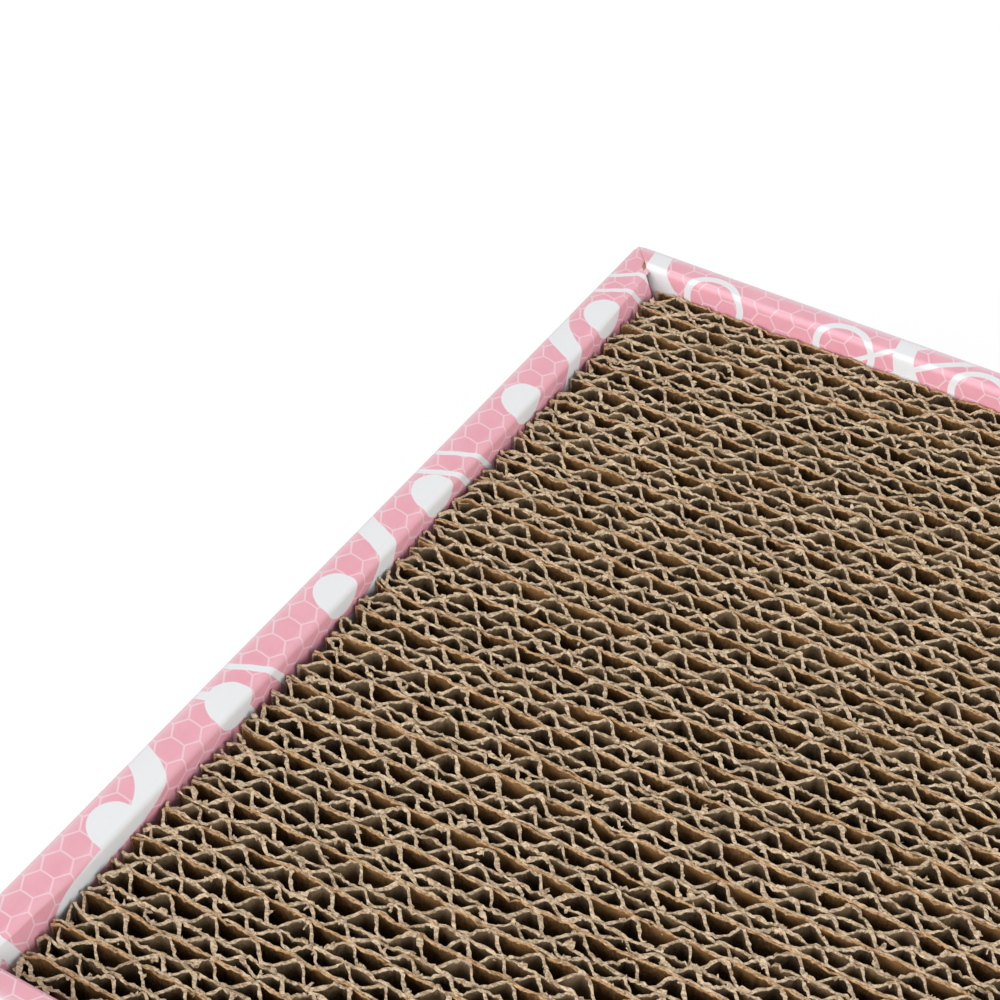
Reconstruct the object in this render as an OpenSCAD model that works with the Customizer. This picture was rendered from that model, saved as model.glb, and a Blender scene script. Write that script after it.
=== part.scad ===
// Cardboard cat scratcher: a folded tray with rolled double walls and a drop-in corrugated pad.
// Origin at the bottom centre of the tray, +X along the long sides, +Y to the back, +Z up.

/* [Pad] */
// Number of board strips glued side by side
strip_count = 30; // [20:1:34]
// Length of one board strip
strip_l = 413; // [250:1:440]
// Height of the pad
pad_h = 38.5; // [15:0.5:60]
// Height of the large flute, from liner to liner
large_flute_h = 3.4; // [2.5:0.1:5]
// Length of one wave of the large flute
large_pitch = 8.4; // [6:0.1:11]
// Height of the small flute, from liner to liner
small_flute_h = 2.48; // [1.5:0.02:3.5]
// Length of one wave of the small flute
small_pitch = 6.4; // [4:0.1:8]
// Thickness of a flat liner
liner_t = 0.3; // [0.2:0.05:0.5]
// Thickness of a fluted sheet, measured across the strip
flute_t = 0.3; // [0.2:0.05:0.5]
// Glue line between the tip of a wave and its liner
glue_t = 0.05; // [0.02:0.01:0.1]
// How far the ends of a strip stray from the ends of the pad
end_stray = 0.6; // [0:0.1:1.2]

/* [Tray] */
// Thickness of the tray's board
board_t = 1.5; // [0.8:0.1:1.8]
// Width of the rolled rim on the long sides
long_rim_w = 5.2; // [4.5:0.1:8]
// Width of the rolled rim on the ends
end_rim_w = 6.8; // [6:0.1:10]
// Radius of the rolled edges of a rim
rim_round = 1.2; // [0.4:0.1:1.4]
// Depth of the pad's top below the rim
recess = 5; // [2:0.5:15]
// Gap between the pad and the back wall
back_gap = 0.3; // [0.3:0.1:3]
// Gap between the pad and the front wall
front_gap = 0.3; // [0.3:0.1:5]
// Gap between the pad's mean end and an end wall
end_gap = 1.7; // [1.6:0.1:5]
// Gap at a corner between an end wall's inner panel and the long inner panel
corner_gap = 1; // [0.3:0.1:3]
// Gap between two rims where their mitred ends meet
mitre_gap = 0.2; // [0.1:0.1:0.6]

/* [Corner flaps] */
// Length of a corner flap
flap_l = 60; // [20:1:65]
// Gap between a flap's panel and the end of the long inner panel
flap_clearance = 0.3; // [0.2:0.1:1]

/* [Lock tabs] */
// Number of lock tabs on a long inner wall
long_tab_count = 4; // [2:1:5]
// Number of lock tabs on an end inner wall
end_tab_count = 2; // [1:1:2]
// Width of a lock tab
tab_w = 40; // [15:1:45]
// Clearance around a lock tab in its slot
slot_clearance = 0.3; // [0.2:0.1:0.6]

/* [Hidden] */
// Shares that scatter the waves and the ends of the strips, so that no two neighbours line up
large_phase_share = 0.37;
small_phase_share = 0.61;
stray_share = 0.23;
// Largest rolled edge, as a share of the board's thickness
round_share = 0.9;
arc_faces = 48;

strip_t = 3 * liner_t + large_flute_h + small_flute_h;
well_l = strip_l + 2 * end_gap;
well_w = strip_count * strip_t + back_gap + front_gap;
tray_l = well_l + 2 * end_rim_w;
tray_w = well_w + 2 * long_rim_w;
tray_h = board_t + pad_h + recess;
rim_z = tray_h - board_t;
pad_back_y = well_w / 2 - back_gap;
long_inner_l = tray_l - 4 * board_t - 2 * flap_clearance;
end_inner_l = well_w - 2 * corner_gap;
print_pink = [0.92, 0.65, 0.74];
kraft = [0.74, 0.60, 0.42];

function two_digits(n) = n < 10 ? str("0", n) : str(n);
function strip_name(n) = str("strip_", two_digits(n));

// Scatter
function fraction(v) = v - floor(v);
function scatter(n, share) = fraction(n * n * share);

// Puts what is built on the back side or the right end on the given side instead
module on_side(y_side) mirror([0, y_side < 0 ? 1 : 0, 0]) children();
module on_end(x_side) mirror([x_side < 0 ? 1 : 0, 0, 0]) children();

// Places children at even steps along a line of the given length
module spread(count, along) {
    for (k = [0:count - 1])
        translate([((k + 1 / 2) / count - 1 / 2) * along, 0, 0]) children();
}

// Lock tabs of a long and of an end inner wall, grown all round by a clearance
module long_tabs(grow) {
    spread(long_tab_count, long_inner_l)
        translate([-tab_w / 2 - grow, well_w / 2 - grow, 0])
            cube([tab_w + 2 * grow, board_t + 2 * grow, board_t]);
}
module end_tabs(grow) {
    rotate([0, 0, 90]) spread(end_tab_count, end_inner_l)
        translate([-tab_w / 2 - grow, -well_l / 2 - board_t - grow, 0])
            cube([tab_w + 2 * grow, board_t + 2 * grow, board_t]);
}

// Base panel, between the outer walls, with a slot for each lock tab
module base_panel() {
    color(print_pink) difference() {
        translate([board_t - tray_l / 2, board_t - tray_w / 2, 0])
            cube([tray_l - 2 * board_t, tray_w - 2 * board_t, board_t]);
        for (side = [-1, 1]) {
            on_side(side) long_tabs(slot_clearance);
            on_end(side) end_tabs(slot_clearance);
        }
    }
}

// Outer wall panels: the end ones run the full width and cover the folded ends of the long ones
module long_outer_wall(side) {
    color(print_pink) on_side(side)
        translate([board_t - tray_l / 2, tray_w / 2 - board_t, 0])
            cube([tray_l - 2 * board_t, board_t, rim_z]);
}
module end_outer_wall(side) {
    color(print_pink) on_end(side)
        translate([tray_l / 2 - board_t, -tray_w / 2, 0])
            cube([board_t, tray_w, rim_z]);
}

// Inner wall panels, standing on the base with their tabs in its slots
module long_inner_wall(side) {
    color(print_pink) on_side(side) {
        translate([-long_inner_l / 2, well_w / 2, board_t])
            cube([long_inner_l, board_t, rim_z - board_t]);
        long_tabs(0);
    }
}
module end_inner_wall(side) {
    color(print_pink) on_end(side) {
        translate([well_l / 2, -end_inner_l / 2, board_t])
            cube([board_t, end_inner_l, rim_z - board_t]);
        end_tabs(0);
    }
}

// Section of a rim strip, lying from its outer edge at 0 to its inner edge at w
module rim_section(w) {
    r = min(rim_round, round_share * board_t);
    square([w, board_t - r]);
    translate([r, 0]) square([w - 2 * r, board_t]);
    for (x = [r, w - r]) translate([x, board_t - r]) circle(r, $fn = arc_faces);
}

// Rim strip along X with its outer edge on the X axis, mitred against rims of width across
module rim_strip(along, w, across) {
    intersection() {
        translate([-along / 2, 0, 0]) rotate([90, 0, 90]) linear_extrude(along) rim_section(w);
        linear_extrude(board_t) polygon([
            [mitre_gap / 2 - along / 2, 0],
            [along / 2 - mitre_gap / 2, 0],
            [along / 2 - across - mitre_gap / 2, w],
            [across + mitre_gap / 2 - along / 2, w]]);
    }
}
module long_rim(side) {
    color(print_pink) on_side(side) translate([0, tray_w / 2, rim_z])
        mirror([0, 1, 0]) rim_strip(tray_l, long_rim_w, end_rim_w);
}
module end_rim(side) {
    color(print_pink) on_end(side) translate([tray_l / 2, 0, rim_z])
        rotate([0, 0, 90]) rim_strip(tray_w, end_rim_w, long_rim_w);
}

// Corner flap, folded in from the end of a long outer wall behind an end's outer panel
module corner_flap(x_side, y_side) {
    color(kraft) on_end(x_side) on_side(y_side)
        translate([tray_l / 2 - 2 * board_t, tray_w / 2 - board_t - flap_l, board_t])
            cube([board_t, flap_l, rim_z - board_t]);
}

// Height of a zigzag wave of unit size: 1 at whole turns and 0 halfway
function zigzag(turn) = abs(2 * fraction(turn) - 1);

// Fluted sheet that fills the space between two liners, its waves started at the given phase
module fluted_sheet(pitch, space, phase) {
    swing = space - flute_t - 2 * glue_t;
    tips = [for (k = [1:floor(2 * (strip_l / pitch + phase))])
        let (x = (k / 2 - phase) * pitch) if (x > flute_t && x < strip_l - flute_t) x];
    under = [for (x = concat(0, tips, strip_l)) [x, glue_t + swing * zigzag(x / pitch + phase)]];
    over = [for (k = [len(under) - 1:-1:0]) under[k] + [0, flute_t]];
    linear_extrude(pad_h) polygon(concat(under, over));
}

module liner() cube([strip_l, liner_t, pad_h]);

// Strip n of the pad, counted from the back wall: small flute in front, large flute behind
module strip(n) {
    stray = end_stray * (2 * scatter(n, stray_share) - 1);
    middle = liner_t + small_flute_h;
    color(kraft) translate([stray - strip_l / 2, pad_back_y - n * strip_t, board_t]) {
        liner();
        translate([0, liner_t, 0])
            fluted_sheet(small_pitch, small_flute_h, scatter(n, small_phase_share));
        translate([0, middle, 0]) liner();
        translate([0, middle + liner_t, 0])
            fluted_sheet(large_pitch, large_flute_h, scatter(n, large_phase_share));
        translate([0, strip_t - liner_t, 0]) liner();
    }
}

base_panel();
long_outer_wall(1);  // back_outer_wall
long_rim(1);  // back_rim
long_inner_wall(1);  // back_inner_wall
long_outer_wall(-1);  // front_outer_wall
long_rim(-1);  // front_rim
long_inner_wall(-1);  // front_inner_wall
end_outer_wall(-1);  // left_outer_wall
end_rim(-1);  // left_rim
end_inner_wall(-1);  // left_inner_wall
end_outer_wall(1);  // right_outer_wall
end_rim(1);  // right_rim
end_inner_wall(1);  // right_inner_wall
corner_flap(-1, 1);  // back_left_flap
corner_flap(1, 1);  // back_right_flap
corner_flap(-1, -1);  // front_left_flap
corner_flap(1, -1);  // front_right_flap
for (n = [1:strip_count])
    strip(n);
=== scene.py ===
"""A flat cardboard cat scratcher: a printed, folded tray around a drop-in pad of corrugated strips.

Lengths are in millimetres until a mesh is finished, when it is scaled to the frame's metres.
"""
import math

import bmesh
import bpy
import numpy as np
from mathutils import Matrix, Vector


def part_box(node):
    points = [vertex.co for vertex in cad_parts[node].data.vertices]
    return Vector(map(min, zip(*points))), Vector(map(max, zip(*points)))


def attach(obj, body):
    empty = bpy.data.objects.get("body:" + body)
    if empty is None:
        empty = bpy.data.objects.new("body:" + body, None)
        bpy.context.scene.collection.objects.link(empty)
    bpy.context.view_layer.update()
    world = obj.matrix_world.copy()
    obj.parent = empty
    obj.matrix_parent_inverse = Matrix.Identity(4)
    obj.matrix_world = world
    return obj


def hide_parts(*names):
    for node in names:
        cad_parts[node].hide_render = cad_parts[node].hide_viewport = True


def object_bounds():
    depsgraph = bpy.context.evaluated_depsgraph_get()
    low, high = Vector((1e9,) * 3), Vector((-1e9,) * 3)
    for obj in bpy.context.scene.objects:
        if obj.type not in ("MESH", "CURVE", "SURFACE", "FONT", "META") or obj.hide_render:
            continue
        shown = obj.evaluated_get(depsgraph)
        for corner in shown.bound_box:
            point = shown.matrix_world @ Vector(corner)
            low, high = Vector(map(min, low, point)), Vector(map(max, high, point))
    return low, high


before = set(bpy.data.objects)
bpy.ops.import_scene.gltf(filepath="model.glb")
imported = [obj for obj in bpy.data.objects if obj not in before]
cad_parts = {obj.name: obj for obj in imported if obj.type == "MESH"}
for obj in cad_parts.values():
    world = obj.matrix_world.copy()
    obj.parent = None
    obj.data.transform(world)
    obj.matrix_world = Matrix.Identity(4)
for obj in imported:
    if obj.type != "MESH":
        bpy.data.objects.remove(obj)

MM = 0.001
cad_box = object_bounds()

# Board of the pad, as in the part's source
STRIP_COUNT = 30
LINER_T = 0.3
FLUTE_T = 0.3
SMALL_FLUTE_H = 2.48
LARGE_PITCH = 8.4
SMALL_PITCH = 6.4
LARGE_PHASE_SHARE = 0.37
SMALL_PHASE_SHARE = 0.61
# Liners are counted from the back, two to a strip, and the last one faces the front wall
LAST_LINER = 2 * STRIP_COUNT
# Gap between the tip of a wave and its liner
TIP_GAP = 0.02

# Seeds of the random draws for the pad's liners, and for strips and walls, where a number is added
PAD_SEED = 11
STRIP_SEEDS = 100
WALL_SEEDS = 7
# Spare length of the random lines that run along the pad, a strip, a sheet and a wall
PAD_SPARE = 10
STRIP_SPARE = 30
SHEET_SPARE = 20
WALL_SPARE = 40

# How a liner strays from its straight line: the length of a wave, and the height of it
SLOW_WAVE = 17
SLOW_STRAY = 0.15
FAST_WAVE = 3.4
FAST_STRAY = 0.09
# How far a liner's end curls as a rule and at most, and how far along the liner that reaches
END_CURL = 0.8
MOST_CURL = 1.3
CURL_REACH = 2.0
# The two outermost liners stray by a smaller share, and the back one keeps off the wall behind it
OUTERMOST_SHARE = 0.3
OFF_BACK_WALL = 0.2
# Lean and rise of a liner's sawn edge: the length of a wave, and the height of it
LEAN_WAVE = 1.6
LEAN_HEIGHT = 0.12
RISE_WAVE = 2.0
RISE_HEIGHT = 0.14

# Steps between the points along a liner and along a fluted sheet
LINER_STEP = 0.62
FLUTE_STEP = 0.45
# Liners of a strip from the back: paper, thickness of the sawn edge, its room and its crumble
LINERS = ((0, 0.31, 0.2, 0.05), (1, 0.48, 0.5, 0.1), (1, 0.33, 0.2, 0.05))
# The room of the two outermost liners' sawn edges
WALL_ROOM = 0.12
# Fluted sheets: paper, thickness of the sawn edge, its room and its crumble
FLUTING = (2, 0.48, 0.5, 0.08)
# Lean and rise of a fluted sheet's sawn edge: the height of a wave, and its length
FLUTE_LEAN = (0.1, 1.6)
FLUTE_RISE = (0.1, 1.3)
# Places along a fluted sheet where it is crushed, and how far along it that reaches
CRUSH_COUNT = 12
CRUSH_REACH = 1.8

# Sawn edge of a sheet: its swell, and how far it droops at the sheet's ends
SWELL_WAVE = 7
SWELL_HEIGHT = 0.10
END_DROOP = 0.5
DROOP_REACH = 1.5
# Tufts and nicks in its height, and burrs in its thickness: count, half width and size
TUFTS = (70, 0.8, 0.3)
NICKS = (30, 1.3, 0.8)
BURRS = (90, 0.7, 0.5)
BURR_WAVE = 1.2
# Share of the glued tips where the saw leaves a clump of fibre
CLUMP_SHARE = 0.5
# Least and most height and thickness of the sawn edge
LOWEST_CUT = -1.3
HIGHEST_CUT = 0.4
THINNEST_EDGE = 0.2
THICKEST_EDGE = 1.1
# How far the ends of a sheet bend aside as a rule, how far along it, and at most as a share of its room
END_BEND = 1.1
BEND_REACH = 1.6
MOST_BEND = 1.6

# Sheets whose sawn edge has more room than this get torn flaps
FLAP_ROOM = 0.3
# Longest pull of a torn flap in each of its stages, and the share of flaps that go on to the next
FLAP_PULLS = (0.75, 0.6, 0.6)
FLAP_GOES_ON = 0.38
# Shares of the sawn edge's faces with a short fibre and with a long one
SHORT_FIBRES = 0.72
LONG_FIBRES = 0.14
# Fibres: reach along the edge, turn out of it in radians, and rise
SHORT_FIBRE = (0.26, 0.25, 0.13)
LONG_FIBRE = (0.42, 0.8, 0.36)
LONG_FIBRE_INSET = 0.13

# Board and folds of the tray
BOARD_T = 1.5
CREASED_T = 0.6
LONG_RIM_W = 5.2
END_RIM_W = 6.8
TAB_W = 40
LONG_TAB_COUNT = 4
END_TAB_COUNT = 2
# How far the rims' outer corners are worn back
CORNER_BLUNT = 0.35
# Length at each end of a wall over which it changes to the shape of its end
END_RUN = 31
# Depth below the rim down to which the inner fold may be drawn outwards
PINCH_DEPTH = 6
# How far the wall bows inward and sags on average, and the length of a wave of each
BOW_IN = 0.06
BOW_WAVE = 45
SAG = 0.05
SAG_WAVE = 38
# How far the end walls' inner fold is drawn outwards at the corners
CORNER_PINCH = 2.0
# Distance between the points along the middle of a wall
WALL_STEP = 9

# Thickness that a weight of 1 stands for when a sheet is made solid
FULL_T = 2.0
# Faces that meet at more than this angle keep a sharp edge
SHARP_ANGLE = math.radians(42)

# The photographer's camera, in millimetres
CAMERA_AT = (-22.26, -251.35, 338.10)
CAMERA_AZIMUTH = math.radians(32.322)
CAMERA_ELEVATION = math.radians(41.814)
CAMERA_ROLL = math.radians(0.49)
CAMERA_LENS = 87.307


def box_mm(node):
    """Lowest and highest corner of a node of the part, in millimetres."""
    low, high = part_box(node)
    return low / MM, high / MM


def linear(red, green, blue):
    """A colour as it is seen on a screen, 0 to 255, as the linear colour that a shader takes."""
    def one(value):
        value /= 255
        return value / 12.92 if value <= 0.04045 else ((value + 0.055) / 1.055) ** 2.4
    return (one(red), one(green), one(blue), 1)


def grey(level):
    """A grey of the given level of light, as the linear colour that a shader takes."""
    return (level, level, level, 1)


class Value:
    """The output of a shader node, so that maths on it is written as a sum."""

    def __init__(self, finish, socket):
        self.finish = finish
        self.socket = socket

    def _math(self, operation, first, second=0.0):
        return self.finish.node("ShaderNodeMath", {"operation": operation}, {0: first, 1: second})

    def __add__(self, other):
        return self._math("ADD", self, other)

    def __sub__(self, other):
        return self._math("SUBTRACT", self, other)

    def __rsub__(self, other):
        return self._math("SUBTRACT", other, self)

    def __mul__(self, other):
        return self._math("MULTIPLY", self, other)

    def __truediv__(self, other):
        return self._math("DIVIDE", self, other)

    def __abs__(self):
        return self._math("ABSOLUTE", self)

    def over(self, other):
        """The larger of two values."""
        return self._math("MAXIMUM", self, other)

    def under(self, other):
        """The smaller of two values."""
        return self._math("MINIMUM", self, other)

    def root(self):
        """The square root of a value."""
        return self._math("SQRT", self)

    def sine(self):
        """The sine of a value in radians."""
        return self._math("SINE", self)

    def wrapped(self, period):
        """The value folded into the span from minus half a period to plus half a period."""
        shifted = self._math("FLOORED_MODULO", self + period / 2, period)
        return shifted - period / 2

    __radd__ = __add__
    __rmul__ = __mul__


class Finish:
    """The nodes of a material, or of the studio's surroundings."""

    def __init__(self, holder):
        holder.use_nodes = True
        self.holder = holder
        self.tree = holder.node_tree
        self.tree.nodes.clear()

    def node(self, kind, settings=None, values=None, out=0):
        """Adds a node with its settings, then its socket values or links, and returns one output."""
        node = self.tree.nodes.new(kind)
        for name, setting in (settings or {}).items():
            setattr(node, name, setting)
        for name, value in (values or {}).items():
            if isinstance(value, Value):
                self.tree.links.new(value.socket, node.inputs[name])
            else:
                node.inputs[name].default_value = value
        return Value(self, node.outputs[out]) if node.outputs else None

    def mix(self, share, first, second):
        """Colour between two colours."""
        settings = {"data_type": "RGBA"}
        return self.node("ShaderNodeMix", settings, {0: share, 6: first, 7: second}, out=2)

    def rise(self, value, start, end):
        """0 below start, 1 above end, and smooth between them."""
        settings = {"interpolation_type": "SMOOTHSTEP"}
        return self.node("ShaderNodeMapRange", settings, {0: value, 1: start, 2: end})

    def place(self):
        """The point on the object, in metres."""
        return self.node("ShaderNodeTexCoord", out=3)

    def stretched(self, vector, scale):
        """A point scaled along each axis, to millimetres or to grains."""
        return self.node("ShaderNodeMapping", None, {"Vector": vector, "Scale": scale})

    def noise(self, vector, scale, detail=2.0, roughness=0.5):
        """Smooth noise about 0.5."""
        values = {"Vector": vector, "Scale": scale, "Detail": detail, "Roughness": roughness}
        return self.node("ShaderNodeTexNoise", None, values)

    def axis(self, vector, which):
        """One part of a vector: 0, 1 or 2."""
        return self.node("ShaderNodeSeparateXYZ", None, {0: vector}, out=which)

    def attribute(self, name):
        """A number that the points of a mesh hold."""
        return self.node("ShaderNodeAttribute", {"attribute_name": name}, out=2)

    def bump(self, height, distance):
        """A normal that follows a height from 0 to 1, of the given distance in millimetres."""
        return self.node("ShaderNodeBump", None, {"Distance": distance * MM, "Height": height})

    def surface(self, values):
        """Ends the material with one plain shader."""
        shader = self.node("ShaderNodeBsdfPrincipled", None, values)
        self.node("ShaderNodeOutputMaterial", None, {"Surface": shader})
        return self.holder

    def seen(self):
        """1 for what the camera sees, also in gloss or through clear things, and 0 for other light."""
        rays = ("Is Camera Ray", "Is Glossy Ray", "Is Transmission Ray")
        camera, gloss, clear = (self.node("ShaderNodeLightPath", out=ray) for ray in rays)
        return camera.over(gloss).over(clear)


# Materials

# Colours of the print, of a pale rub on its folds that is partly a painted highlight, of a painted
# highlight on the rims' outer folds, and of the board where it is torn
PINK = linear(230, 165, 178)
PINK_DEEP = linear(227, 157, 172)
WHITE_INK = linear(228, 230, 232)
NET_INK = linear(234, 198, 206)
# Pale rub on the folds: partly wear of the print and partly a painted highlight along them
CREASE_RUB_AND_HIGHLIGHT = linear(238, 196, 206)
# Pale colour painted along the rims' outer folds: a painted highlight where light catches them
PAINTED_EDGE_SHEEN = linear(232, 222, 228)
TORN_BROWN = linear(158, 124, 86)
# Hexagon net: the distance across a cell, the thickness of its lines and how softly they end
NET_ACROSS = 4.7
NET_LINE = 0.32
NET_FADE = 0.06
# White shapes: how softly they end, how fast the ribbons sway, and the half width of a thin line
SHAPE_FADE = 0.08
SWAY_RATE = 0.11
THIN_HALF = 0.7
# Wavy ribbons: direction across them, how far they swing and repeat, and their half width
RIBBON_SLANT = (0.80, -0.60)
RIBBON_SWING = 4.5
RIBBON_APART = 43.0
RIBBON_HALF = 2.6
# Pairs of thin wavy lines: the same, and half the gap of a pair
PAIR_SLANT = (0.52, 0.85)
PAIR_SWING = 3.0
PAIR_APART = 57.0
PAIR_HALF_GAP = 3.4
# Discs and rings: how far they repeat in both directions, their places and their radii
SPOTS_APART = (29.0, 31.0)
DISC_AT = (6.0, 9.0)
DISC_RADIUS = 4.6
RING_AT = (20.5, -6.5)
RING_RADIUS = 6.0
# Papers of the pad: dark and light of the face, the paper's own brown darkened as painted shade for the
# deep cells, then dark and light of the sawn edge
PAPER_TONES = {
    "kraft_liner": ((72, 51, 29), (137, 102, 64), (149, 111, 73), (213, 175, 133)),
    "pale_liner": ((72, 56, 38), (132, 107, 77), (152, 125, 95), (218, 195, 164)),
    "fluting": ((68, 54, 38), (124, 103, 78), (153, 128, 100), (219, 197, 168)),
}
# Floor: half its width and how far it lies under the tray, in metres
FLOOR_HALF = 6
FLOOR_DROP = 0.0002
# Floor: what it throws back on the object, what it takes of a shadow, and its own glow
FLOOR_BOUNCE = 0.45
FLOOR_SHADE = 0.15
FLOOR_GLOW = 0.88
# Light that the surroundings throw on the object
ROOM_LIGHT = 0.56


def net_lines(finish, across, along):
    """1 on the lines of a hexagon net whose flat edges run along the first axis."""
    wide = NET_ACROSS * math.sqrt(3)
    first_x = abs(across.wrapped(wide))
    first_y = abs(along.wrapped(NET_ACROSS))
    second_x = abs((across + wide / 2).wrapped(wide))
    second_y = abs((along + NET_ACROSS / 2).wrapped(NET_ACROSS))
    first = first_y.over(first_x * (math.sqrt(3) / 2) + first_y / 2)
    second = second_y.over(second_x * (math.sqrt(3) / 2) + second_y / 2)
    to_edge = NET_ACROSS / 2 - first.under(second)
    return 1 - finish.rise(to_edge, NET_LINE / 2 - NET_FADE, NET_LINE / 2 + NET_FADE)


def white_shapes(finish, across, along):
    """1 inside a plain design of wavy ribbons, pairs of lines, discs and rings, all in white."""
    sway = ((across + along) * SWAY_RATE).sine()

    def slanted(slant, swing, apart):
        """How far a point lies from the nearest of a set of slanted, wavy lines."""
        return abs((across * slant[0] + along * slant[1] + sway * swing).wrapped(apart))

    def from_spot(at):
        """How far a point lies from the nearest spot of a set."""
        x = (across + at[0]).wrapped(SPOTS_APART[0])
        y = (along + at[1]).wrapped(SPOTS_APART[1])
        return (x * x + y * y).root()

    def filled(distance, half_width):
        """1 up to half a width from the middle of a shape."""
        return 1 - finish.rise(distance, half_width, half_width + SHAPE_FADE)
    ribbon = filled(slanted(RIBBON_SLANT, RIBBON_SWING, RIBBON_APART), RIBBON_HALF)
    pair = filled(abs(slanted(PAIR_SLANT, PAIR_SWING, PAIR_APART) - PAIR_HALF_GAP), THIN_HALF)
    disc = filled(from_spot(DISC_AT), DISC_RADIUS)
    ring = filled(abs(from_spot(RING_AT) - RING_RADIUS), THIN_HALF)
    return ribbon.over(pair).over(disc).over(ring)


def printed_board(name, from_blank):
    """Glossy printed face of the tray's board: pink with a white hexagon net and plain white shapes.

    from_blank lays the print out on the flat sheet, and shows what its points hold: tears, a pale rub on
    the folds that is partly wear and partly a painted highlight, and a pale painted highlight on the rims'
    outer folds."""
    finish = Finish(bpy.data.materials.new(name))
    point = finish.place()
    if from_blank:
        blank = finish.node("ShaderNodeUVMap", {"uv_map": "blank"})
    else:
        blank = point
    flat = finish.stretched(blank, (1 / MM, 1 / MM, 1 / MM))
    across = finish.axis(flat, 0)
    along = finish.axis(flat, 1)
    tone = finish.noise(point, 160, 3, 0.6)
    ink = finish.mix(finish.rise(tone, 0.3, 0.7), PINK, PINK_DEEP)
    netted = finish.mix(net_lines(finish, across, along), ink, NET_INK)
    worn = 0
    if from_blank:
        worn = finish.attribute("crease")
        # Folds painted paler: partly wear, partly a painted highlight along the creases
        rub_and_highlight = finish.rise(worn * 1.1 + finish.noise(point, 900) - 0.5, 0.35, 1.1)
        netted = finish.mix(rub_and_highlight * 0.22, netted, CREASE_RUB_AND_HIGHLIGHT)
    colour = finish.mix(white_shapes(finish, across, along), netted, WHITE_INK)
    if from_blank:
        # Painted highlight: the rims' outer folds are painted paler, as if catching the light
        painted_gleam = finish.attribute("painted_sheen") * (finish.noise(point, 60) * 0.6 + 0.4)
        colour = finish.mix(painted_gleam, colour, PAINTED_EDGE_SHEEN)
        ragged = finish.attribute("torn") + finish.noise(point, 1100, 3, 0.7) * 0.8 - 0.4
        colour = finish.mix(finish.rise(ragged, 0.44, 0.56), colour, TORN_BROWN)
    wave = finish.noise(point, 45)
    grain = finish.noise(point, 1400)
    return finish.surface({
        "Base Color": colour,
        "Roughness": finish.noise(point, 300) * 0.12 + worn * 0.28 + 0.4,
        "Specular IOR Level": 0.7,
        "Normal": finish.bump(wave * 0.8 + grain * 0.06, 0.25),
        "Coat Weight": (1 - worn) * 0.2,
        "Coat Roughness": 0.34,
    })


def bare_board():
    """Unprinted side and raw edges of the tray's board: brown, matte, with fine lying fibres."""
    finish = Finish(bpy.data.materials.new("bare_board"))
    point = finish.place()
    fibre = finish.noise(finish.stretched(point, (900, 900, 2500)), 1.0, 4, 0.65)
    mottle = finish.noise(point, 220, 3)
    colour = finish.mix(finish.rise(fibre, 0.3, 0.72), linear(150, 118, 80), linear(196, 163, 120))
    colour = finish.mix(finish.rise(mottle, 0.55, 0.8) * 0.3, colour, linear(122, 92, 60))
    return finish.surface({
        "Base Color": colour,
        "Roughness": 0.9,
        "Specular IOR Level": 0.15,
        "Normal": finish.bump(fibre, 0.12),
    })


def pad_paper(name, dark, light, cut_dark, cut_light):
    """Raw kraft paper of the pad: mottled faces, darkened as painted shade for the deep cells, and paler,
    fibrous sawn edges.
    """
    finish = Finish(bpy.data.materials.new(name))
    point = finish.place()
    cut = finish.attribute("cut")
    batch = finish.attribute("batch")
    fibre = finish.noise(finish.stretched(point, (2200, 2200, 500)), 1.0, 3, 0.6)
    fluff = finish.noise(point, 1300, 4, 0.75)
    mottle = finish.noise(point, 130, 3, 0.6)
    blotch = fibre * 0.2 + fluff * 0.4 + mottle * 0.12 + batch * 0.28
    # The faces' tones hold painted shade: the paper's own brown, made darker to stand for the shade deep
    # in the cells
    face = finish.mix(finish.rise(blotch, 0.36, 0.64), dark, light)
    strand = finish.noise(finish.stretched(point, (1000, 2600, 2600)), 1.0, 2, 0.7)
    edge = finish.mix(finish.rise(strand * 0.7 + fluff * 0.3, 0.36, 0.6), cut_dark, cut_light)
    shown = finish.rise(cut + (fluff - 0.5) * 0.9 + (fibre - 0.5) * 0.5, 0.22, 0.78)
    return finish.surface({
        "Base Color": finish.mix(shown, face, edge),
        "Roughness": 0.92,
        "Specular IOR Level": 0.1,
        "Normal": finish.bump(fluff * 0.5 + strand * 0.5, 0.13),
    })


def floor_paper():
    """Plain white floor, bright to the camera, that still takes the object's shadow."""
    finish = Finish(bpy.data.materials.new("floor_white"))
    lit = finish.node("ShaderNodeBsdfDiffuse", None, {"Color": grey(FLOOR_BOUNCE)})
    shaded = finish.node("ShaderNodeBsdfDiffuse", None, {"Color": grey(FLOOR_SHADE)})
    glow = finish.node("ShaderNodeEmission", None, {"Color": grey(1), "Strength": FLOOR_GLOW})
    bright = finish.node("ShaderNodeAddShader", None, {0: shaded, 1: glow})
    shader = finish.node("ShaderNodeMixShader", None, {0: finish.seen(), 1: lit, 2: bright})
    finish.node("ShaderNodeOutputMaterial", None, {"Surface": shader})
    return finish.holder


# Meshes

def wander(rng, reach, wave):
    """A smooth random height of about 1 along 0 to reach, which changes over about one wave.

    It runs through random knots, one to a wave, with a few to spare at both ends."""
    spare_knots = 8
    first_turn = 2.5
    knots = rng.normal(size=int(reach / wave) + spare_knots)

    def height(along):
        turn = np.asarray(along) / wave + first_turn
        index = turn.astype(int)
        part = turn - index
        before, here, there, after = (knots[index + step] for step in (-1, 0, 1, 2))
        curve = 2 * before - 5 * here + 4 * there - after
        bend = 3 * (here - there) + after - before
        return here + part * (there - before + part * (curve + part * bend)) / 2
    return height


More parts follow.
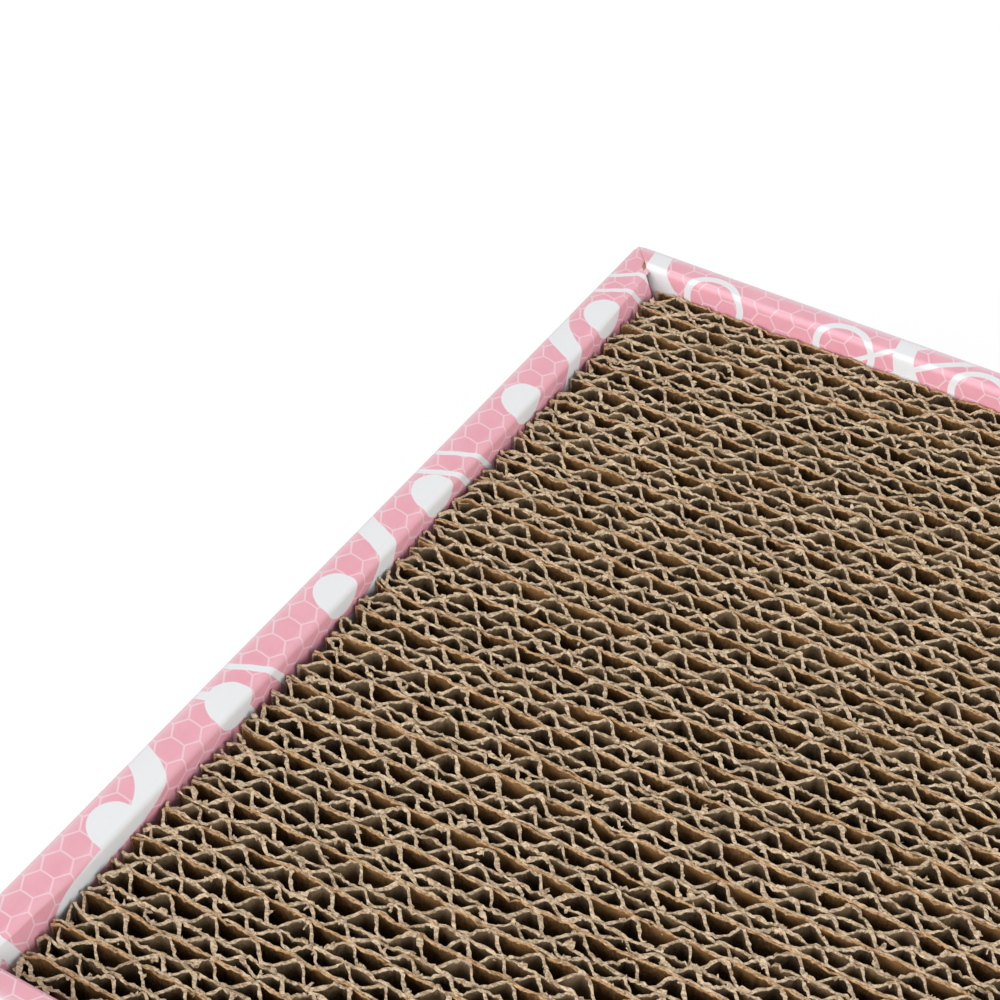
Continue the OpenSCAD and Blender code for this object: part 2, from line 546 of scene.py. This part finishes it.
def lay_grid(bm, x, y, z):
    """Adds a grid of faces whose points lie at the given rows and columns of coordinates."""
    rows, columns = x.shape
    made = bmesh.ops.create_grid(bm, x_segments=columns - 1, y_segments=rows - 1, size=0.5)
    grid = [[None] * columns for _ in range(rows)]
    for vert in made["verts"]:
        column = round((vert.co.x + 0.5) * (columns - 1))
        row = round((vert.co.y + 0.5) * (rows - 1))
        vert.co = (x[row, column], y[row, column], z[row, column])
        grid[row][column] = vert
    return grid


def set_in_order(bm):
    """Puts points, edges and faces in an order that each run repeats, which an extrusion doesn't."""
    for number, vert in enumerate(sorted(bm.verts, key=lambda vert: tuple(vert.co))):
        vert.index = number
    bm.verts.sort()
    for items in (bm.edges, bm.faces):
        ordered = sorted(items, key=lambda item: sorted(vert.index for vert in item.verts))
        for number, item in enumerate(ordered):
            item.index = number
        items.sort()


def solid_from_sheet(bm, name, materials, edge_slot=0, offset=0.0):
    """The mesh of open sheets, each made as thick as its points say, as a share of the full thickness."""
    set_in_order(bm)
    mesh = bpy.data.meshes.new(name)
    bm.to_mesh(mesh)
    bm.free()
    for material in materials:
        mesh.materials.append(material)
    holder = bpy.data.objects.new(name, mesh)
    holder.vertex_groups.new(name="thickness")
    bpy.context.scene.collection.objects.link(holder)
    wall = holder.modifiers.new("thickness", "SOLIDIFY")
    wall.thickness = FULL_T
    wall.offset = offset
    wall.vertex_group = "thickness"
    wall.material_offset = edge_slot
    wall.material_offset_rim = edge_slot
    finished = holder.evaluated_get(bpy.context.evaluated_depsgraph_get())
    thick = bpy.data.meshes.new_from_object(finished)
    bpy.data.objects.remove(holder)
    bpy.data.meshes.remove(mesh)
    thick.shade_smooth()
    thick.set_sharp_from_angle(angle=SHARP_ANGLE)
    return thick


def finished_piece(name, mesh, body, nodes):
    """Scales a mesh to metres, names it and puts it in the place of nodes of the part."""
    mesh.transform(Matrix.Scale(MM, 4))
    mesh.name = name
    piece = bpy.data.objects.new(name, mesh)
    bpy.context.scene.collection.objects.link(piece)
    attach(piece, body)
    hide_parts(*nodes)


# The pad

def flute_wave(turn, flatness):
    """A wave from 0 to 1, 1 at whole turns, with straight flanks and rounded tips, broader at 0."""
    sharpness = 0.985
    lean = 0.12

    def pressed(height):
        return height / (1 + np.abs(height) ** 5) ** 0.2
    slant = np.arcsin(sharpness * np.cos(2 * math.pi * turn)) / math.asin(sharpness)
    lowest, highest = pressed(-flatness - lean), pressed(flatness - lean)
    return (pressed(flatness * slant - lean) - lowest) / (highest - lowest)


def fraction(value):
    """What is left of a value above its whole part."""
    return value - math.floor(value)


class PadBoard:
    """The wandering lines of every liner of the pad, shared by the strips that touch."""

    def __init__(self):
        rng = np.random.default_rng(PAD_SEED)
        self.left = box_mm("left_inner_wall")[1].x
        reach = -2 * self.left + PAD_SPARE
        self.slow, self.fast, self.lean, self.rise = (
            [wander(rng, reach, wave) for _ in range(LAST_LINER + 1)]
            for wave in (SLOW_WAVE, FAST_WAVE, LEAN_WAVE, RISE_WAVE))
        curls = END_CURL * rng.normal(size=(LAST_LINER + 1, 2))
        self.curls = np.clip(curls, -MOST_CURL, MOST_CURL)

    def stray(self, liner, x):
        """How far a liner strays from its straight line at the points x."""
        share = OUTERMOST_SHARE if liner in (0, LAST_LINER) else 1.0
        along = x - self.left
        from_ends = (along, along + 2 * self.left)
        curl = sum(turned * np.exp(-(from_end / CURL_REACH) ** 2)
                   for turned, from_end in zip(self.curls[liner], from_ends))
        swell = SLOW_STRAY * self.slow[liner](along) + FAST_STRAY * self.fast[liner](along)
        return share * (swell + curl) - OFF_BACK_WALL * (liner == 0)


def tufts(rng, along, count, widest, tallest):
    """Random humps along an edge, each up to the given half width and height."""
    total = np.zeros(len(along))
    for _ in range(count):
        hump = np.exp(-((along - rng.uniform(0, along[-1])) / rng.uniform(0.25, 1.0) / widest) ** 2)
        total += rng.uniform(0.2, 1.0) * tallest * hump
    return total


def sawn_sheet(bm, rng, x, y, z_low, z_high, slot, edge_t, room, lean, rise, crumble, knots=()):
    """Adds one upright sheet of the pad, with a ragged, torn upper edge and bent ends.

    edge_t is how thick its frayed upper edge is, room is how far that may stand proud of the sheet, and
    lean, rise and crumble are how far the edge leans, stands up and varies from point to point.
    knots are the places along it where its tips are glued. The saw leaves clumps of fibre there."""
    count = len(x)
    reach = x[-1] - x[0] + SHEET_SPARE
    along = x - x[0]
    to_end = np.minimum(along, along[-1] - along)
    height = SWELL_HEIGHT * wander(rng, reach, SWELL_WAVE)(along) + rise
    height += 1.3 * crumble * rng.normal(size=count)
    height -= END_DROOP * rng.random() * np.exp(-(to_end / DROOP_REACH) ** 2)
    height += tufts(rng, along, *TUFTS) - tufts(rng, along, *NICKS)
    frayed = edge_t + crumble * (wander(rng, reach, BURR_WAVE)(along) + 0.9 * rng.normal(size=count))
    frayed += tufts(rng, along, *BURRS)
    for knot in knots:
        if rng.random() < CLUMP_SHARE:
            clump = np.exp(-((x - knot) / rng.uniform(0.3, 0.7)) ** 2)
            height += rng.uniform(-0.3, 0.3) * clump
            frayed += rng.uniform(0.1, 0.6) * clump
    frayed = np.clip(frayed, THINNEST_EDGE, min(THICKEST_EDGE, LINER_T + 2 * room))
    top = z_high + np.clip(height, LOWEST_CUT, HIGHEST_CUT)
    sawn_depth = np.clip(0.45 + 0.25 * rng.normal(size=count), 0.2, 1.0)
    lean = np.clip(lean + crumble * rng.normal(size=count), -room / 2, room / 2)
    bent = sum(rng.normal() * np.exp(-((along - end) / BEND_REACH) ** 2) for end in (0, along[-1]))
    y = y + np.clip(END_BEND * bent, -MOST_BEND * room, MOST_BEND * room)
    row_x = np.stack([x, x, x + 0.06 * rng.normal(size=count)])
    row_y = np.stack([y, y, y + lean])
    row_z = np.stack([np.full(count, z_low), top - sawn_depth, top])
    grid = lay_grid(bm, row_x, row_y, row_z)
    cut = bm.verts.layers.float["cut"]
    batch = bm.verts.layers.float["batch"]
    heading = bm.verts.layers.float["heading"]
    weight = bm.verts.layers.deform.verify()
    tone = np.clip(rng.uniform(0.2, 0.8) + 0.15 * wander(rng, reach, 30)(along), 0, 1)
    headings = np.arctan2(np.gradient(y), np.gradient(x))
    for column, share in enumerate(frayed):
        for row, thickness in enumerate((LINER_T, LINER_T, share)):
            grid[row][column][weight][0] = thickness / FULL_T
            grid[row][column][batch] = tone[column]
            grid[row][column][cut] = 0.8 if column in (0, count - 1) else 0.0
        grid[2][column][cut] = 1.0
        grid[2][column][heading] = headings[column]
        for face in (*grid[0][column].link_faces, *grid[2][column].link_faces):
            face.material_index = slot
    if room > FLAP_ROOM:
        tear(bm, rng, grid[2])


def tear(bm, rng, edge_verts):
    """Pulls small torn flaps of paper out of the sawn edge of a sheet, to one side or the other.

    Some of them go on a second or a third time, so that they curl."""
    cut = bm.verts.layers.float["cut"]
    weight = bm.verts.layers.deform.verify()
    torn = []
    place = int(rng.integers(2, 12))
    while place < len(edge_verts) - 5:
        wide = int(rng.integers(1, 4))
        flap = edge_verts[place:place + wide + 1]
        along = (flap[-1].co - flap[0].co).normalized()
        aside = Vector((-along.y, along.x, 0)) * float(rng.choice((-1, 1)))
        torn.append((flap, aside))
        place += wide + int(rng.integers(2, 16))
    for longest in FLAP_PULLS:
        edges = [bm.edges.get(pair) for flap, _ in torn for pair in zip(flap, flap[1:])]
        made = bmesh.ops.extrude_edge_only(bm, edges=edges)
        grown = {item for item in made["geom"] if isinstance(item, bmesh.types.BMVert)}
        tips = []
        for flap, aside in torn:
            pull = aside * rng.uniform(0.1, 1.0) * longest + Vector((0, 0, rng.uniform(-0.5, 0.35)))
            middle = sum((vert.co for vert in flap), Vector()) / len(flap)
            ends = []
            for vert in flap:
                others = [edge.other_vert(vert) for edge in vert.link_edges]
                tip = next(other for other in others if other in grown)
                tip.co = vert.co.lerp(middle, rng.uniform(0.05, 0.45)) + pull * rng.uniform(0.6, 1.2)
                tip[weight][0] = rng.uniform(0.1, 0.22) / FULL_T
                tip[cut] = rng.uniform(0.3, 1.0)
                ends.append(tip)
            tips.append((ends, aside))
        torn = [flap for flap in tips if rng.random() < FLAP_GOES_ON]


def fray(mesh, rng):
    """Draws torn fibres out of the sawn upper edge of a strip.

    Most are short and lie along the edge, and fewer, slimmer ones stand further out."""
    bm = bmesh.new()
    bm.from_mesh(mesh)
    cut = bm.verts.layers.float["cut"]
    batch = bm.verts.layers.float["batch"]
    heading = bm.verts.layers.float["heading"]
    sawn = [face for face in bm.faces if face.normal.z > 0.5]
    chance = rng.random(len(sawn))
    short = [face for face, share in zip(sawn, chance) if share < SHORT_FIBRES]
    long = [face for face, share in zip(sawn, chance) if share > 1 - LONG_FIBRES]
    bmesh.ops.inset_individual(bm, faces=long, thickness=LONG_FIBRE_INSET)
    for faces, (reach, turn, rise) in ((short, SHORT_FIBRE), (long, LONG_FIBRE)):
        for tip in bmesh.ops.poke(bm, faces=faces)["verts"]:
            ring = [edge.other_vert(tip) for edge in tip.link_edges]
            angle = sum(vert[heading] for vert in ring) / len(ring) + turn * rng.normal()
            ahead = reach * rng.normal()
            up = rise * rng.uniform(-0.3, 1)
            tip.co += Vector((math.cos(angle) * ahead, math.sin(angle) * ahead, up))
            tip[cut] = 1.0
            tip[batch] = 0.5
            for face in tip.link_faces:
                face.smooth = False
    bm.to_mesh(mesh)
    bm.free()


def pad_strip(number, board, papers):
    """One strip of the pad: three liners with a large and a small fluted sheet between them."""
    name = "strip_%02d" % number
    low, high = box_mm(name)
    rng = np.random.default_rng(STRIP_SEEDS + number)
    bm = bmesh.new()
    for layer in ("cut", "batch", "heading"):
        bm.verts.layers.float.new(layer)
    bm.verts.layers.deform.verify()
    first_liner = 2 * (number - 1)
    length = high.x - low.x
    reach = length + STRIP_SPARE

    def liner_y(which, x):
        """Middle of a liner: 0 at the back, 1 in the middle, 2 in front."""
        middle = low.y + SMALL_FLUTE_H + 1.5 * LINER_T
        rest = (high.y - LINER_T / 2, middle, low.y + LINER_T / 2)[which]
        return rest + board.stray(first_liner + which, x)

    def steps(step):
        """Places along the strip, at uneven steps, from one torn end to the other."""
        start = board.left + rng.uniform(0.2, 1.2)
        end = -board.left - rng.uniform(0.2, 1.2)
        x = np.linspace(start, end, int(length / step) + 1)
        x[1:-1] += rng.uniform(-0.2, 0.2, len(x) - 2) * step
        return x

    for which, (slot, edge_t, room, crumble) in enumerate(LINERS):
        x = steps(LINER_STEP)
        along = x - board.left
        liner = first_liner + which
        if liner in (0, LAST_LINER):
            room = WALL_ROOM
        lean = LEAN_HEIGHT * board.lean[liner](along)
        rise = RISE_HEIGHT * board.rise[liner](along)
        sawn_sheet(bm, rng, x, liner_y(which, x), low.z, high.z, slot, edge_t, room, lean, rise, crumble)
    contact = (LINER_T + FLUTE_T) / 2 + TIP_GAP
    slot, edge_t, room, crumble = FLUTING
    waves = ((0, 1, LARGE_PITCH, LARGE_PHASE_SHARE), (1, 2, SMALL_PITCH, SMALL_PHASE_SHARE))
    for back, front, pitch, phase_share in waves:
        x = steps(FLUTE_STEP)
        along = x - board.left
        drift = 0.035 * wander(rng, reach, 30)(along) + 0.032 * wander(rng, reach, 6)(along)
        turn = (x - low.x) / pitch + fraction(number * number * phase_share) + drift
        flatness = np.clip(1.6 + 0.25 * wander(rng, reach, 9)(along), 1.1, 2.2)
        nearest = liner_y(front, x) + contact
        farthest = liner_y(back, x) - contact
        crush = sum(rng.uniform(0.1, 0.45) * np.exp(-((along - rng.uniform(0, length)) / CRUSH_REACH) ** 2)
                    for _ in range(CRUSH_COUNT))
        share = 0.5 + (flute_wave(turn, flatness) - 0.5) * (1 - np.clip(crush, 0, 0.5))
        y = nearest + (farthest - nearest) * share
        half_turns = np.arange(math.ceil(2 * turn[0]), math.floor(2 * turn[-1]))
        knots = np.interp(half_turns / 2, turn, x)
        lean = FLUTE_LEAN[0] * wander(rng, reach, FLUTE_LEAN[1])(along)
        rise = FLUTE_RISE[0] * wander(rng, reach, FLUTE_RISE[1])(along)
        sawn_sheet(bm, rng, x, y, low.z, high.z, slot, edge_t, room, lean, rise, crumble, knots)
    mesh = solid_from_sheet(bm, name, papers)
    fray(mesh, rng)
    finished_piece("board_" + name, mesh, "pad", [name])


# The tray

def arc(centre_in, centre_z, radius, start, end, steps):
    """Points on a round fold, from one angle to another, in degrees. Angle 0 points inward."""
    for step in range(steps + 1):
        angle = math.radians(start + (end - start) * step / steps)
        yield (centre_in + radius * math.cos(angle), centre_z + radius * math.sin(angle))


def rolled_section(width, height, outer_fold, inner_fold, fall):
    """The printed face of a rolled wall, up its outer side, over the rim and down its inner side.

    Each row of it is (inward, height, creased, sheen), sheen being the share of a pale painted highlight.
    fall is how far the rim's inner edge lies below its outer one."""
    inner_z = height - fall
    foot_fold = 0.9
    rows = [(BOARD_T, 0, 0, 0)]
    rows += [(*point, 1, 0) for point in arc(foot_fold, foot_fold, foot_fold, 270, 180, 4)]
    rows.append((0, foot_fold + 1.2, 0, 0))
    rows.append((0, height - BOARD_T, 0, 0))
    rows.append((0, height - outer_fold - 0.3, 0, 0.3))
    rows += [(*point, 1, 1) for point in arc(outer_fold, height - outer_fold, outer_fold, 180, 90, 6)]
    rows.append((outer_fold + 0.5, height - 0.1 * fall, 0, 0.5))
    rows.append((outer_fold + 1.3, height - 0.25 * fall, 0, 0.1))
    rows.append((width / 2 + 0.2, height - 0.45 * fall, 0, 0))
    rows.append((width - inner_fold - 0.6, inner_z + 0.1 * fall, 0, 0))
    fold_at = (width - inner_fold, inner_z - inner_fold)
    rows += [(*point, 1, 0) for point in arc(*fold_at, inner_fold, 90, 0, 6)]
    rows.append((width, inner_z - inner_fold - 0.6, 0, 0))
    rows.append((width, height - PINCH_DEPTH, 0, 0))
    rows.append((width, BOARD_T, 0, 0))
    return rows


def rolled_wall(seed, outer, turn, half_length, width, height, folds, painted_sheen, torn, ends, pinch,
                tab_count, tab_span):
    """The printed face of a wall of one folded sheet: the back wall, turned about Z to its own side.

    folds gives the radius of the rim's outer and of its inner fold, and how far the rim falls inward
    along its middle and at its two ends.
    sheen is how pale the rim's outer fold is painted, a painted highlight, and torn how far its inner fold
    is torn at its two ends.
    ends gives, for the outer panel, the two edges of the rim and the inner panel, half the length there.
    pinch is how far the rim's inner fold is drawn outwards at its two ends.
    tab_count lock tabs stand evenly along tab_span of its lower edge."""
    rng = np.random.default_rng(seed)
    outer_fold, inner_fold, fall, end_fall = folds
    rows = rolled_section(width, height, outer_fold, inner_fold, fall)
    end_rows = rolled_section(width, height, outer_fold, inner_fold, end_fall)
    reach = 2 * half_length + WALL_SPARE
    settled = half_length - END_RUN
    fine = [half_length - back for back in (0, 1.5, 3, 5, 7.5, 10, 13, 16, 20, 25, END_RUN)]
    tabs = [(step + 0.5) / tab_count * tab_span - tab_span / 2 for step in range(tab_count)]
    marks = {edge for tab in tabs for edge in (tab - TAB_W / 2, tab + TAB_W / 2)}
    marks |= {side * at for side in (-1, 1) for at in fine}
    first_step = -int(half_length / WALL_STEP) * WALL_STEP
    marks |= set(np.arange(first_step, settled - 1, WALL_STEP).tolist())
    columns = np.array(sorted({round(float(mark), 2) for mark in marks}))
    columns = columns[np.append(True, np.diff(columns) > 0.5)]
    bow = 1 + np.clip(wander(rng, reach, BOW_WAVE)(columns + half_length), -1, 1)
    sag = 1 + np.clip(wander(rng, reach, SAG_WAVE)(columns + half_length), -1, 1)
    beyond = np.clip((np.abs(columns) - settled) / (half_length - settled), 0, 1)
    x = np.empty((len(rows), len(columns)))
    y = np.empty_like(x)
    z = np.empty_like(x)
    paper = np.zeros_like(x)
    outer_end, rim_outer_end, rim_inner_end, inner_end = ends
    run = 0
    for index, (inward, up, _, _) in enumerate(rows):
        if index:
            before = rows[index - 1]
            run += math.dist(before[:2], (inward, up))
        blunt = CORNER_BLUNT if inward < BOARD_T else 0
        mitred = (inward + blunt - CORNER_BLUNT) / (width - CORNER_BLUNT)
        if inward < width and up > height - BOARD_T:
            end = rim_outer_end + (rim_inner_end - rim_outer_end) * mitred
        elif inward >= width:
            end = inner_end
        else:
            end = outer_end
        x[index] = np.sign(columns) * (np.minimum(np.abs(columns), settled) + beyond * (end - settled))
        drawn = pinch * beyond ** 2 * np.clip((up - (height - PINCH_DEPTH)) / 5, 0, 1) * mitred
        drawn -= blunt * (np.abs(columns) > half_length - 1)
        free = min(1.0, up / height) * (1 - beyond)
        y[index] = outer - inward + drawn - free * BOW_IN * bow
        z[index] = up - free * SAG * sag * (up > BOARD_T)
        z[index] += beyond * (end_rows[index][1] - up)
        paper[index] = run
    bm = bmesh.new()
    for layer in ("crease", "painted_sheen", "torn"):
        bm.verts.layers.float.new(layer)
    weight = bm.verts.layers.deform.verify()
    blank = bm.loops.layers.uv.new("blank")
    crease, painted_gleam, rip = (bm.verts.layers.float[layer] for layer in ("crease", "painted_sheen", "torn"))
    grid = lay_grid(bm, x, y, z)
    sheet = {}
    from_end = half_length - np.abs(columns)
    for index, (inward, _, creased, pale) in enumerate(rows):
        for column, vert in enumerate(grid[index]):
            vert[crease] = creased
            # Share of the pale painted highlight on the rim's outer fold
            vert[painted_gleam] = pale * painted_sheen
            if creased and inward > width / 2:
                vert[rip] = torn * np.interp(from_end[column], (0, 1.5, 3), (1, 0.5, 0))
            vert[weight][0] = (CREASED_T if creased else BOARD_T) / FULL_T
            sheet[vert] = Vector((x[index, column], outer + paper[index, column]))
    last = grid[-1]
    for tab in tabs:
        foot = [vert for vert in last if tab - TAB_W / 2 - 0.01 <= vert.co.x <= tab + TAB_W / 2 + 0.01]
        rim = [edge for vert in foot for edge in vert.link_edges
               if edge.is_boundary and edge.other_vert(vert) in foot]
        made = bmesh.ops.extrude_edge_only(bm, edges=list(dict.fromkeys(rim)))
        grown = [item for item in made["geom"] if isinstance(item, bmesh.types.BMVert)]
        for vert in grown:
            vert[weight][0] = BOARD_T / FULL_T
            sheet[vert] = Vector((vert.co.x, outer + run + BOARD_T))
            vert.co.z -= BOARD_T
    for face in bm.faces:
        for loop in face.loops:
            flat = Matrix.Rotation(turn, 2) @ sheet[loop.vert]
            loop[blank].uv = flat * MM
    bmesh.ops.rotate(bm, verts=bm.verts, matrix=Matrix.Rotation(turn, 3, "Z"))
    bm.normal_update()
    if sum(face.normal.z for face in bm.faces) < 0:
        bmesh.ops.reverse_faces(bm, faces=bm.faces)
    return bm


def tray_wall(name, turn, finishes):
    """One of the tray's four walls, with its rim and its inner panel in the same sheet.

    The rims' ends are worn back at the tray's corners, and the end walls' inner folds are torn there."""
    half_l, half_w, height = (corner / MM for corner in cad_box[1])
    inner_half = box_mm(name + "_inner_wall")[1]
    if name in ("back", "front"):
        sizes = {
            "outer": half_w, "half_length": half_l, "width": LONG_RIM_W, "folds": (0.5, 1.0, 0.2, 0.05),
            "painted_sheen": 1.0, "torn": 0.0, "pinch": 0.0,
            "ends": (half_l - BOARD_T - CORNER_BLUNT, half_l - CORNER_BLUNT,
                     half_l - END_RIM_W + CORNER_PINCH, inner_half.x),
            "tab_count": LONG_TAB_COUNT, "tab_span": 2 * inner_half.x,
        }
    else:
        sizes = {
            "outer": half_l, "half_length": half_w, "width": END_RIM_W, "folds": (0.5, 1.3, 1.0, 0.4),
            "painted_sheen": 0.6, "torn": 1.0, "pinch": CORNER_PINCH,
            "ends": (half_w - CORNER_BLUNT, half_w - CORNER_BLUNT, half_w - LONG_RIM_W, inner_half.y),
            "tab_count": END_TAB_COUNT, "tab_span": 2 * inner_half.y,
        }
    bm = rolled_wall(WALL_SEEDS + turn, turn=math.radians(turn), height=height, **sizes)
    mesh = solid_from_sheet(bm, name, finishes, edge_slot=1, offset=-1.0)
    nodes = [name + "_outer_wall", name + "_rim", name + "_inner_wall"]
    finished_piece(name + "_wall", mesh, "tray", nodes)


def set_camera():
    """The camera of the photograph: where it stood, which way it looked, and its lens."""
    azimuth, elevation = CAMERA_AZIMUTH, CAMERA_ELEVATION
    look = Vector((-math.sin(azimuth) * math.cos(elevation), math.cos(azimuth) * math.cos(elevation),
                   -math.sin(elevation)))
    right = Vector((math.cos(azimuth), math.sin(azimuth), 0))
    upright = right.cross(look)
    rolled_right = right * math.cos(CAMERA_ROLL) - upright * math.sin(CAMERA_ROLL)
    rolled_up = right * math.sin(CAMERA_ROLL) + upright * math.cos(CAMERA_ROLL)
    camera = bpy.data.objects.new("camera", bpy.data.cameras.new("camera"))
    bpy.context.scene.collection.objects.link(camera)
    turned = Matrix((rolled_right, rolled_up, -look)).transposed().to_4x4()
    camera.matrix_world = Matrix.Translation(Vector(CAMERA_AT) * MM) @ turned
    camera.data.sensor_width = 36
    camera.data.lens = CAMERA_LENS
    camera.data.clip_start = 0.01
    bpy.context.scene.camera = camera


def add_softbox(name, at, size, power):
    """A square softbox, in metres, that faces the object."""
    lamp = bpy.data.lights.new(name, "AREA")
    lamp.shape = "SQUARE"
    lamp.size = size
    lamp.energy = power
    holder = bpy.data.objects.new(name, lamp)
    holder.location = at
    holder.rotation_euler = (-Vector(at)).to_track_quat("-Z", "Y").to_euler()
    bpy.context.scene.collection.objects.link(holder)


def set_studio():
    """White floor and surroundings, with a soft light at the front left and a softer one at the right."""
    bm = bmesh.new()
    bmesh.ops.create_grid(bm, x_segments=4, y_segments=4, size=FLOOR_HALF)
    mesh = bpy.data.meshes.new("floor")
    bm.to_mesh(mesh)
    bm.free()
    mesh.materials.append(floor_paper())
    floor = bpy.data.objects.new("floor", mesh)
    floor.location.z = -FLOOR_DROP
    bpy.context.scene.collection.objects.link(floor)
    world = bpy.data.worlds.new("studio")
    bpy.context.scene.world = world
    room = Finish(world)
    lit = room.node("ShaderNodeBackground", None, {"Color": grey(1), "Strength": ROOM_LIGHT})
    white = room.node("ShaderNodeBackground", None, {"Color": grey(1)})
    shader = room.node("ShaderNodeMixShader", None, {0: room.seen(), 1: lit, 2: white})
    room.node("ShaderNodeOutputWorld", None, {"Surface": shader})
    add_softbox("left_softbox", at=(-0.9, -1.85, 0.82), size=1.6, power=37)
    add_softbox("right_fill", at=(1.87, -0.68, 0.93), size=1.2, power=29)
    bpy.context.scene.view_settings.view_transform = "Standard"


set_camera()
set_studio()

printed = printed_board("printed_board", from_blank=True)
printed_base = printed_board("printed_base", from_blank=False)
bare = bare_board()
papers = [pad_paper(name, *(linear(*tone) for tone in tones)) for name, tones in PAPER_TONES.items()]

board = PadBoard()
for number in range(1, STRIP_COUNT + 1):
    pad_strip(number, board, papers)

for name, turn in (("back", 0), ("left", 90), ("front", 180), ("right", 270)):
    tray_wall(name, turn, [printed, bare])

# The part's own pieces that still show are the base panel and the corner flaps
for name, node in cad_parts.items():
    if node.hide_render:
        continue
    node.data.materials.clear()
    node.data.materials.append(printed_base if name == "base_panel" else bare)
